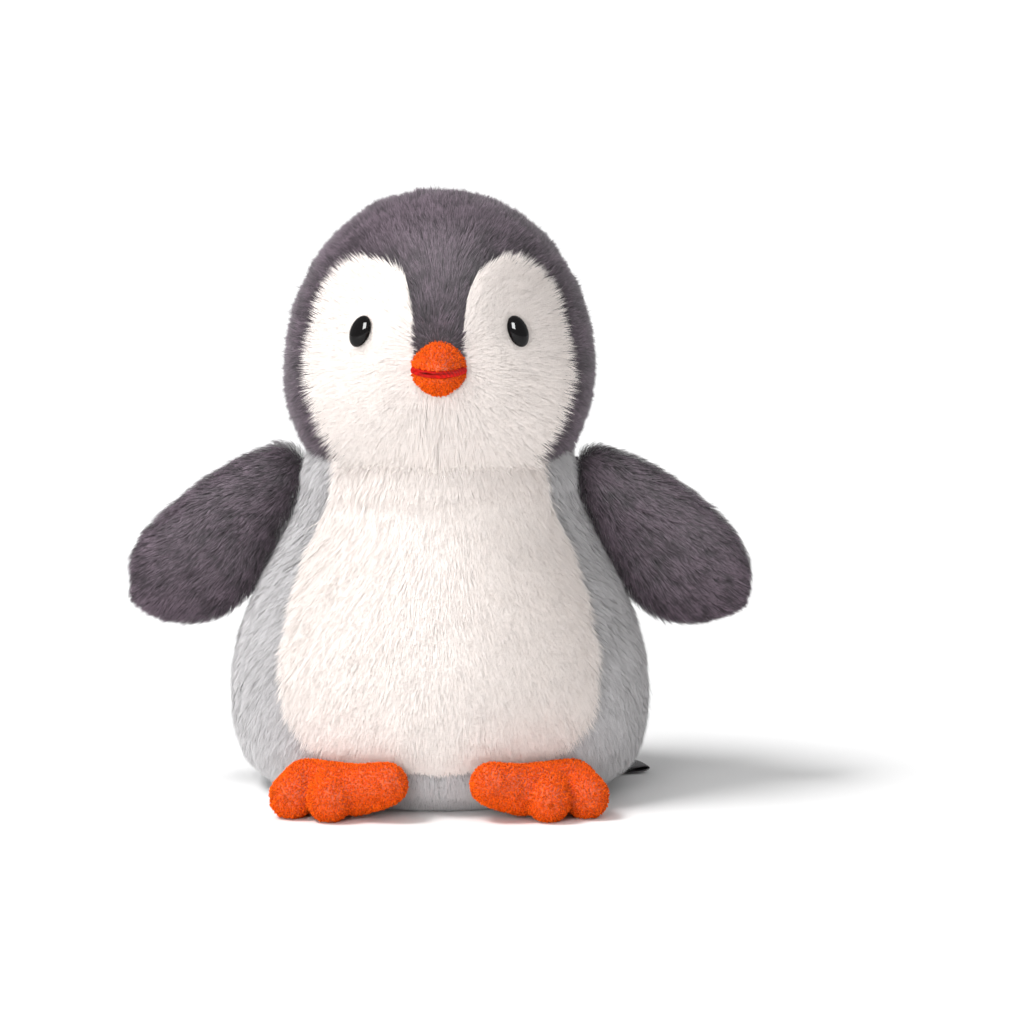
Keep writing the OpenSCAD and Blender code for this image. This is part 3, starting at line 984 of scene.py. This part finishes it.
class PENGUIN_OT_flippers(bpy.types.Operator):
    """Make the two flippers, each a front and a back with their pile"""

    bl_idname = "penguin.flippers"
    bl_label = "Flippers"

    def execute(self, context):
        pile_settings = context.scene.penguin_pile
        dark_grey = pile_settings.dark_grey
        # Root, middle and tip tones: a darker root is painted shade, a lighter tip painted light
        dark = pile_materials("flipper_polyester_pile", dark_grey, (0.32, 0.72, 1.25), 0.52, 1.0)
        for side in (LEFT, RIGHT):
            name = SIDE_NAME[side]
            halves = flipper_form(side)
            verts = np.concatenate([halves[0][0], halves[1][0]])
            tris = np.concatenate([halves[0][1], halves[1][1] + len(halves[0][0])])
            verts, tris = weld(verts, tris)
            whole = with_normals(verts, tris)
            whole[:, :3] += whole[:, 3:] * (0.5 * soft_noise(verts, 16, 31))[:, None]
            root = np.array((side * (SHOULDER[0] - 18), SHOULDER[1], SHOULDER[2] + 12))

            def pile_length(roots, root=root):
                gap = np.linalg.norm(roots - root, axis=1)
                return pile_settings.length * 0.8 * np.clip((gap - 12) / 16, 0.9, 1)

            ahead = SHOULDER[1] - verts[:, 1]
            for k, (facing, depth) in enumerate((("front", ahead), ("back", -ahead))):
                node = f"flipper_{facing}_{name}"
                skin = clip(whole, tris, depth + 1e-4)
                backing = knit_backing(f"{node}_knit_backing", dark_grey)
                on_body(skin_piece(f"{node}_skin", skin, backing), f"flipper_{name}", "dark_plush", node)
                pile(f"{node}_pile", skin, dark, away_from(root), pile_length, f"flipper_{name}",
                     "dark_plush", 80 + 4 * k + side, density=1.1, clump=0.6, soft=0.6)
        return {"FINISHED"}


def ball_points(x, y, z, r, rows=14, around=24):
    """Points all over a ball."""
    up = np.linspace(-math.pi / 2, math.pi / 2, rows)[:, None]
    turn = np.arange(around)[None] * 2 * math.pi / around
    return [
        (x + r * math.cos(u) * math.cos(t), y + r * math.cos(u) * math.sin(t), z + r * math.sin(u))
        for u in up[:, 0] for t in turn[0]
    ]


def foot_form(side, inset=0.0, voxel=0.9):
    """Form of a foot: three stuffed toes that run out of one instep, as vertices and triangles."""
    bm = bmesh.new()
    starts = [INSTEPS[0], (INSTEPS[0] + INSTEPS[1]) / 2, INSTEPS[1]]
    for rounds in (INSTEPS, *zip(starts, TOES)):
        cloud = bmesh.new()
        for x, y, z, r in rounds:
            for p in ball_points(side * x, y, z, r - inset):
                cloud.verts.new(p)
        bmesh.ops.convex_hull(cloud, input=cloud.verts)
        bmesh.ops.delete(cloud, geom=[v for v in cloud.verts if not v.link_faces], context="VERTS")
        part = bpy.data.meshes.new("toe")
        cloud.to_mesh(part)
        cloud.free()
        bm.from_mesh(part)
        bpy.data.meshes.remove(part)
    mesh = bpy.data.meshes.new("foot")
    bm.to_mesh(mesh)
    bm.free()
    made = bpy.data.objects.new("foot", mesh)
    bpy.context.scene.collection.objects.link(made)
    remesh = made.modifiers.new("Merge", "REMESH")
    remesh.mode = "VOXEL"
    remesh.voxel_size = voxel
    smooth = made.modifiers.new("Soften", "SMOOTH")
    smooth.factor = 0.5
    smooth.iterations = 5
    done = made.evaluated_get(bpy.context.evaluated_depsgraph_get()).to_mesh()
    done.calc_loop_triangles()
    verts = np.zeros(len(done.vertices) * 3)
    done.vertices.foreach_get("co", verts)
    tris = np.zeros(len(done.loop_triangles) * 3, np.int32)
    done.loop_triangles.foreach_get("vertices", tris)
    verts, tris = verts.reshape(-1, 3), tris.reshape(-1, 3)
    bpy.data.objects.remove(made)
    bpy.data.meshes.remove(mesh)
    verts[:, 2] = np.maximum(verts[:, 2], SOLE_CLEARANCE)
    return with_normals(verts, tris), tris


class PENGUIN_OT_feet(bpy.types.Operator):
    """Make the two feet of looped fleece, each a top and a sole"""

    bl_idname = "penguin.feet"
    bl_label = "Feet"

    def execute(self, context):
        orange = context.scene.penguin_trim.orange
        yarn = fleece_materials("orange_fleece_yarn", orange)
        ground = fleece_ground("orange_fleece_ground", orange)
        for side in (LEFT, RIGHT):
            name = SIDE_NAME[side]
            whole, tris = foot_form(side)
            seam = whole[:, 2] - SOLE_SEAM_Z
            whole, tris = sew((whole, tris), [1.5 * seam], 0.3)
            for k, (part, depth) in enumerate((("top", seam), ("sole", -seam))):
                node = f"foot_{part}_{name}"
                skin = clip(whole, tris, depth)
                foot = (f"foot_{name}", "orange_fleece")
                on_body(skin_piece(f"{node}_skin", skin, ground, 0.6), *foot, node)
                loops_of_yarn(f"{node}_loops", skin, yarn, *foot, 100 + 4 * k + side)
        return {"FINISHED"}


def beak_profile(share):
    """Width of the beak, as a share of its widest, at a share of the way to its tip."""
    return (1 - share**1.9) ** 0.62


def beak_form(inset=0.0, rings=44, around=72):
    """Form of the beak: a blunt rounded cone, pinched at its corners, with a crease along the mouth."""
    half = (BEAK_HIGH - BEAK_LOW) / 2
    middle = (BEAK_HIGH + BEAK_LOW) / 2
    share = np.sin(np.linspace(0, math.pi / 2, rings))[:, None]
    turn = np.arange(around) * 2 * math.pi / around
    rounds = beak_profile(share)
    pinch = 1 - 0.05 * np.sin(2 * turn) ** 2
    verts = np.stack([
        rounds * pinch * np.cos(turn) * (half[0] - inset),
        np.broadcast_to(BEAK_HIGH[1] + 2 - (2 * half[1] + 2 - inset) * share, (rings, around)),
        middle[2] + rounds * pinch * np.sin(turn) * (half[2] - inset),
    ], -1).reshape(-1, 3)
    verts, tris = weld(verts, grid_tris(rings, around))
    skin = with_normals(verts, tris)
    crease = 0.8 * np.exp(-(((verts[:, 2] - MOUTH_Z) / 1.4) ** 2))
    skin[:, :3] -= skin[:, 3:] * crease[:, None]
    return with_normals(skin[:, :3], tris), tris


class PENGUIN_OT_beak(bpy.types.Operator):
    """Make the beak's two lobes and its satin-stitched mouth"""

    bl_idname = "penguin.beak"
    bl_label = "Beak"

    def execute(self, context):
        trim = context.scene.penguin_trim
        yarn = fleece_materials("beak_fleece_yarn", trim.orange)
        ground = fleece_ground("beak_fleece_ground", trim.orange)
        whole, tris = beak_form()
        above = whole[:, 2] - MOUTH_Z
        for k, (node, depth) in enumerate((("beak_upper", above), ("beak_lower", -above))):
            skin = clip(whole, tris, depth)
            on_body(skin_piece(f"{node}_skin", skin, ground, 0.6), "head", "orange_fleece", node)
            clear = np.abs(skin[0][:, 2] - MOUTH_Z) - 0.75
            loops_of_yarn(f"{node}_loops", clip(*skin, clear), yarn, "head", "orange_fleece", 120 + k)
        thread = spun_thread("mouth_satin_thread", trim.mouth)
        proud, half_stitch, spacing = 0.5, 1.0, 0.4
        half = (BEAK_HIGH - BEAK_LOW) / 2
        share = np.sin(np.linspace(0.3, math.pi / 2, 60))
        edge = np.stack([beak_profile(share) * half[0], BEAK_HIGH[1] + 2 - (2 * half[1] + 2) * share], -1)
        edge = np.concatenate([edge * (-1, 1), edge[-2::-1]])
        run = np.append(0, np.cumsum(np.linalg.norm(np.diff(edge, axis=0), axis=1)))
        bow = ((-1.1, -0.7), (-0.7, proud * 0.6), (0, proud), (0.7, proud * 0.6), (1.1, -0.7))
        stitches = []
        for at in np.arange(0, run[-1], spacing):
            x, y = np.interp(at, run, edge[:, 0]), np.interp(at, run, edge[:, 1])
            out = Vector((x, y - BEAK_HIGH[1], 0)).normalized() if at else Vector((-1, 0, 0))
            spot = Vector((x, y, MOUTH_Z))
            stitches.append([
                spot + out * depth + Vector((0, 0, rise * half_stitch))
                for rise, depth in bow
            ])
        satin = tubes("mouth_satin_stitch", stitches, 0.27, thread)
        on_body(satin, "head", "mouth_thread", "mouth_stitching")
        return {"FINISHED"}


def eye_frame(side):
    """Matrix that puts +Z out of the head at an eye, and +Y up the face, in mm."""
    inside = Vector(middle_mm(f"eye_washer_{SIDE_NAME[side]}"))
    over = (HEAD_TOP - HEAD_WIDE_Z) ** 2
    centre = Vector(EYE[side])
    out = Vector((centre.x / HEAD_R**2, centre.y / HEAD_R**2, (centre.z - HEAD_WIDE_Z) / over)).normalized()
    face = inside + out * 4.2
    right = Vector((0, 0, 1)).cross(out).normalized()
    up = out.cross(right)
    lean = side * math.radians(14)
    right, up = right * math.cos(lean) + up * math.sin(lean), up * math.cos(lean) - right * math.sin(lean)
    return Matrix.Translation(face) @ Matrix((right, up, out)).transposed().to_4x4()


class PENGUIN_OT_eyes(bpy.types.Operator):
    """Make the two domed eyes, their posts and their washers"""

    bl_idname = "penguin.eyes"
    bl_label = "Eyes"

    def execute(self, context):
        gloss = polished_plastic("polished_abs_eye", context.scene.penguin_trim.eye)
        dull = moulded_plastic("moulded_pp_washer", linear("#e2e0da"))
        dome = [(0.0, -9), (1.5, -9), (1.5, 0.1), (4.9, 0.1), (5.3, 0.3), (5.45, 0.6)]
        dome += [(5.45 * math.cos(a), 0.6 + 2.6 * math.sin(a)) for a in np.radians(np.arange(6, 91, 6))]
        washer = [(1.55, 0), (4.8, 0), (5.0, 0.2), (5.0, 1.0), (4.8, 1.2), (2.6, 1.2)]
        washer += [(2.2, 1.9), (1.55, 1.9), (1.55, 0)]
        for side in (LEFT, RIGHT):
            name = SIDE_NAME[side]
            place = np.array(eye_frame(side))
            for node, outline, material, slot, squeeze, lift in (
                (f"eye_{name}", dome, gloss, "eye_plastic", 0.68, 0.4),
                (f"eye_washer_{name}", washer, dull, "washer_plastic", 1.0, -4.8),
            ):
                verts, tris = turned(outline, 64, 0, 0)
                local = verts[:, :3] * (squeeze, 1, 1) + (0, 0, lift)
                verts = local @ place[:3, :3].T + place[:3, 3]
                starts = np.arange(0, tris.size, 3)
                piece = new_piece(f"{node}_moulding", verts, tris.ravel(), starts, [material])
                on_body(piece, "head", slot, node)
        return {"FINISHED"}


class PENGUIN_OT_stuffing(bpy.types.Operator):
    """Make the loose fibre in every part and the pouch of beads"""

    bl_idname = "penguin.stuffing"
    bl_label = "Stuffing"

    def execute(self, context):
        fibre = loose_fibre("carded_polyester_fibre", linear("#f7f7f2"))
        cloth = knit_backing("bead_pouch_knit", linear("#e9e6dc"))

        def stuffing(node, skin, body, inflate, lumps, slot="stuffing", material=fibre):
            verts, tris = skin
            moved = verts[:, :3] + verts[:, 3:] * (inflate + lumps * soft_noise(verts[:, :3], 5, 3))[:, None]
            piece = new_piece(f"{node}_wad", moved, tris.ravel(), np.arange(0, tris.size, 3), [material])
            on_body(piece, body, slot, node)

        top = box_mm("body_stuffing")[1][2]
        closed = body_outline(2.6, top) + [(r, top) for r in (30, 20, 10, 0)]
        stuffing("body_stuffing", turned(closed, 120, 0, 0), "body", -0.3, 0.5)
        ball = NECK_BALL_R - 1
        low_z, _ = box_mm("neck_stuffing")
        start = math.asin((low_z[2] + 0.5 - NECK_PIVOT[2]) / ball)
        cap = [(r, low_z[2] + 0.5) for r in (0, 15, 30)]
        cap += [
            (ball * math.cos(a), NECK_PIVOT[2] + ball * math.sin(a))
            for a in np.linspace(start, math.pi / 2, 16)
        ]
        stuffing("neck_stuffing", turned(cap, 96, 0, 0), "neck", -0.2, 0.3)
        hollow = NECK_BALL_R + 0.6
        floor = [
            (hollow * math.cos(a), NECK_PIVOT[2] + hollow * math.sin(a))
            for a in np.linspace(math.pi / 2, math.asin((HEAD_RIM - NECK_PIVOT[2]) / hollow), 14)
        ]
        stuffing("head_stuffing", turned(floor + head_outline(2.2), 120, 0, 0), "head", 0, 0.25)
        stuffing("beak_stuffing", beak_form(1.6), "head", 0, 0.2)
        for side in (LEFT, RIGHT):
            name = SIDE_NAME[side]
            halves = flipper_form(side, 1.6, 14, 80)
            verts = np.concatenate([h[0] for h in halves])
            tris = np.concatenate([halves[0][1], halves[1][1] + len(halves[0][0])])
            verts, tris = weld(verts, tris)
            skin = (with_normals(verts, tris), tris)
            stuffing(f"flipper_stuffing_{name}", skin, f"flipper_{name}", 0, 0.3)
            stuffing(f"foot_stuffing_{name}", foot_form(side, 1.4, 1.2), f"foot_{name}", 0, 0.15)
        low, high = box_mm("pellet_pouch")
        r, h = high[0], high[2] - low[2]
        pouch = [(0, low[2])]
        for a in np.linspace(-math.pi / 2, math.pi / 2, 18):
            pouch.append((r - h / 2 + h / 2 * math.cos(a), low[2] + h / 2 + h / 2 * math.sin(a)))
        pouch += [(0, high[2])]
        stuffing("pellet_pouch", turned(pouch, 96, 0, 0), "body", -0.6, 0.5, "pouch_fabric", cloth)
        return {"FINISHED"}


def ring_of_stitches(middle, facing, radius, count, lean, depth):
    """Paths of short ladder stitches round a seam's ring."""
    facing = Vector(facing).normalized()
    side = facing.orthogonal().normalized()
    up = facing.cross(side)
    paths = []
    for k in range(count):
        path = []
        for t in (0, 0.25, 0.5, 0.75, 1):
            turn = 2 * math.pi * (k + lean * t) / count
            bulge = 0.3 * math.sin(math.pi * t)
            spot = Vector(middle) + (side * math.cos(turn) + up * math.sin(turn)) * (radius + bulge)
            path.append(spot + facing * depth * (t - 0.5))
        paths.append(path)
    return paths


class PENGUIN_OT_stitching(bpy.types.Operator):
    """Make the ladder stitches of the neck, the shoulders and the ankles"""

    bl_idname = "penguin.stitching"
    bl_label = "Stitching"

    def execute(self, context):
        thread = spun_thread("spun_polyester_thread", linear("#6a626a"))
        low, high = box_mm("neck_stitching")
        rings = {"neck_stitching": ((low + high) / 2, (0, 0, 1), high[0] - 0.4, 72, 0.7, 1.2)}
        for side in (LEFT, RIGHT):
            name = SIDE_NAME[side]
            low, high = box_mm(f"shoulder_stitching_{name}")
            middle = (low + high) / 2
            rings[f"shoulder_stitching_{name}"] = (middle, (1, 0, 0), (high - low)[2] / 2 - 0.4, 14, 0.7, 0.8)
        for node, ring in rings.items():
            stitches = tubes(f"{node}_thread", ring_of_stitches(*ring), 0.28, thread)
            on_body(stitches, "body", "sewing_thread", node)
        for side in (LEFT, RIGHT):
            node = f"ankle_stitching_{SIDE_NAME[side]}"
            middle = Vector(middle_mm(node))
            out = Vector((middle.x, middle.y, 0)).normalized()
            across = Vector((-out.y, out.x, 0))
            run, count = 14, 12
            paths = []
            for k in range(count):
                spot = middle + across * (run * ((k + 0.5) / count - 0.5))
                paths.append([
                    spot + out * (1.5 * t) + across * (0.5 * t) + Vector((0, 0, -0.8 * abs(t) - 0.2))
                    for t in (-1, -0.5, 0, 0.5, 1)
                ])
            on_body(tubes(f"{node}_thread", paths, 0.25, thread), "body", "sewing_thread", node)
        return {"FINISHED"}


class PENGUIN_OT_ribbon(bpy.types.Operator):
    """Make the blank folded ribbon in the base seam"""

    bl_idname = "penguin.ribbon"
    bl_label = "Ribbon"

    def execute(self, context):
        weave = woven_ribbon("woven_satin_ribbon", context.scene.penguin_trim.ribbon)
        middle = middle_mm("care_label")
        out = Vector((middle[0], middle[1], 0)).normalized()
        across = Vector((-out.y, out.x, 0))
        reach, wide, thick = 21.0, 13.0, 0.3
        lower = [(-13.5, -0.7), (-7, -0.95), (0, -1.0), (5, -0.7)]
        fold = [(6.8, -0.2), (7.3, 0.5), (6.7, 1.1)]
        upper = [(5, 1.3), (0, 0.8), (-7, 0.9), (-13.5, 0.3)]
        path = curve_through(lower + fold + upper, 5)
        columns = 14
        verts = []
        for i, (along, rise) in enumerate(path):
            for j in range(columns):
                s = j / (columns - 1) - 0.5
                curl = 0.35 * math.cos(s * 3.1) * (along / reach + 0.5)
                spot = Vector(middle) + out * along + across * (s * wide) + Vector((0, 0, rise + curl))
                verts.append(spot)
        rows = len(path)
        i, j = np.meshgrid(np.arange(rows - 1), np.arange(columns - 1), indexing="ij")
        a = (i * columns + j).ravel()
        quads = np.stack([a, a + 1, a + columns + 1, a + columns], -1)
        starts = np.arange(0, quads.size, 4)
        piece = new_piece("blank_ribbon", np.array(verts), quads.ravel(), starts, [weave])
        cloth = piece.modifiers.new("Ribbon", "SOLIDIFY")
        cloth.thickness = thick * MM
        on_body(piece, "body", "label_ribbon", "care_label")
        return {"FINISHED"}


class PENGUIN_OT_stage(bpy.types.Operator):
    """Set the floor, the lights and the camera"""

    bl_idname = "penguin.stage"
    bl_label = "Stage"

    def execute(self, context):
        stage = context.scene.penguin_stage
        paper, shader, tree = new_material(
            "matt_paper_floor", {"Base Color": (*stage.floor, 1), "Specular IOR Level": 0.1}
        )
        place = add_node(tree, "ShaderNodeTexCoord")
        grain = add_node(tree, "ShaderNodeTexNoise", {"Scale": 900.0}, {"Vector": place.outputs["Object"]})
        rough = add_node(
            tree, "ShaderNodeMapRange", {"To Min": 0.75, "To Max": 0.9}, {"Value": grain.outputs["Fac"]}
        )
        tree.links.new(rough.outputs["Result"], shader.inputs["Roughness"])
        far = 30000
        corners = np.array([(-far, -far, 0), (far, -far, 0), (far, far, 0), (-far, far, 0)])
        new_piece("floor", corners, [0, 1, 2, 3], [0], [paper])

        world = bpy.data.worlds.new("white_studio")
        world.use_nodes = True
        ray = add_node(world.node_tree, "ShaderNodeLightPath")
        strength = add_node(
            world.node_tree, "ShaderNodeMapRange", {"To Min": 0.5, "To Max": 1.0},
            {"Value": ray.outputs["Is Camera Ray"]},
        )
        background = world.node_tree.nodes["Background"]
        background.inputs["Color"].default_value = (1, 1, 1, 1)
        world.node_tree.links.new(strength.outputs["Result"], background.inputs["Strength"])
        context.scene.world = world
        # Each lamp's name, kind, place, size (an angle for the sun) and power
        for name, kind, place, size, power in (
            ("key_lamp", "SUN", (-0.75, -0.15, 1.35), math.radians(22), 2.45),
            ("front_softbox", "AREA", (-0.5, -1.45, 0.45), 0.7, 12),
            ("catch_light", "AREA", (0, -1.15, 1.0), 0.75, 75),
        ):
            light = bpy.data.lights.new(name, kind)
            light.energy = power
            if kind == "SUN":
                light.angle = size
            else:
                light.size = size
            lamp = bpy.data.objects.new(name, light)
            lamp.location = place
            lamp.rotation_euler = (Vector((0, 0, 0.08)) - lamp.location).to_track_quat("-Z", "Y").to_euler()
            lamp.visible_glossy = name == "catch_light"
            lamp.visible_diffuse = name != "catch_light"
            context.scene.collection.objects.link(lamp)
        context.scene.view_settings.view_transform = "Standard"

        aim = Vector((0.024, 0, 0.0915))
        camera = bpy.data.objects.new("camera", bpy.data.cameras.new("camera"))
        camera.location = aim + stage.camera_distance * Vector(
            (0, -math.cos(stage.camera_height), math.sin(stage.camera_height))
        )
        camera.rotation_euler = (math.pi / 2 - stage.camera_height, 0, 0)
        camera.data.sensor_width = 36
        camera.data.lens = 36 * stage.camera_distance / stage.view_width
        camera.data.clip_start = 0.01
        camera.data.clip_end = 100
        context.scene.collection.objects.link(camera)
        context.scene.camera = camera
        return {"FINISHED"}


OPERATORS = (
    PENGUIN_OT_stage,
    PENGUIN_OT_body,
    PENGUIN_OT_head,
    PENGUIN_OT_flippers,
    PENGUIN_OT_feet,
    PENGUIN_OT_beak,
    PENGUIN_OT_eyes,
    PENGUIN_OT_stuffing,
    PENGUIN_OT_stitching,
    PENGUIN_OT_ribbon,
)
GROUPS = {"penguin_pile": PenguinPile, "penguin_trim": PenguinTrim, "penguin_stage": PenguinStage}


class PENGUIN_PT_panel(bpy.types.Panel):
    """The penguin's settings and its steps"""

    bl_label = "Plush penguin"
    bl_space_type = "VIEW_3D"
    bl_region_type = "UI"
    bl_category = "Penguin"

    def draw(self, context):
        for group, kind in GROUPS.items():
            box = self.layout.box()
            for prop in kind.__annotations__:
                box.prop(getattr(context.scene, group), prop)
        for operator in OPERATORS:
            self.layout.operator(operator.bl_idname)


def register():
    for kind in (*GROUPS.values(), *OPERATORS, PENGUIN_PT_panel):
        bpy.utils.register_class(kind)
    for name, kind in GROUPS.items():
        setattr(bpy.types.Scene, name, bpy.props.PointerProperty(type=kind))


def unregister():
    for name in GROUPS:
        delattr(bpy.types.Scene, name)
    for kind in reversed((*GROUPS.values(), *OPERATORS, PENGUIN_PT_panel)):
        bpy.utils.unregister_class(kind)


def main():
    register()
    for operator in OPERATORS:
        group, step = operator.bl_idname.split(".")
        getattr(getattr(bpy.ops, group), step)()


if __name__ == "__main__":
    main()
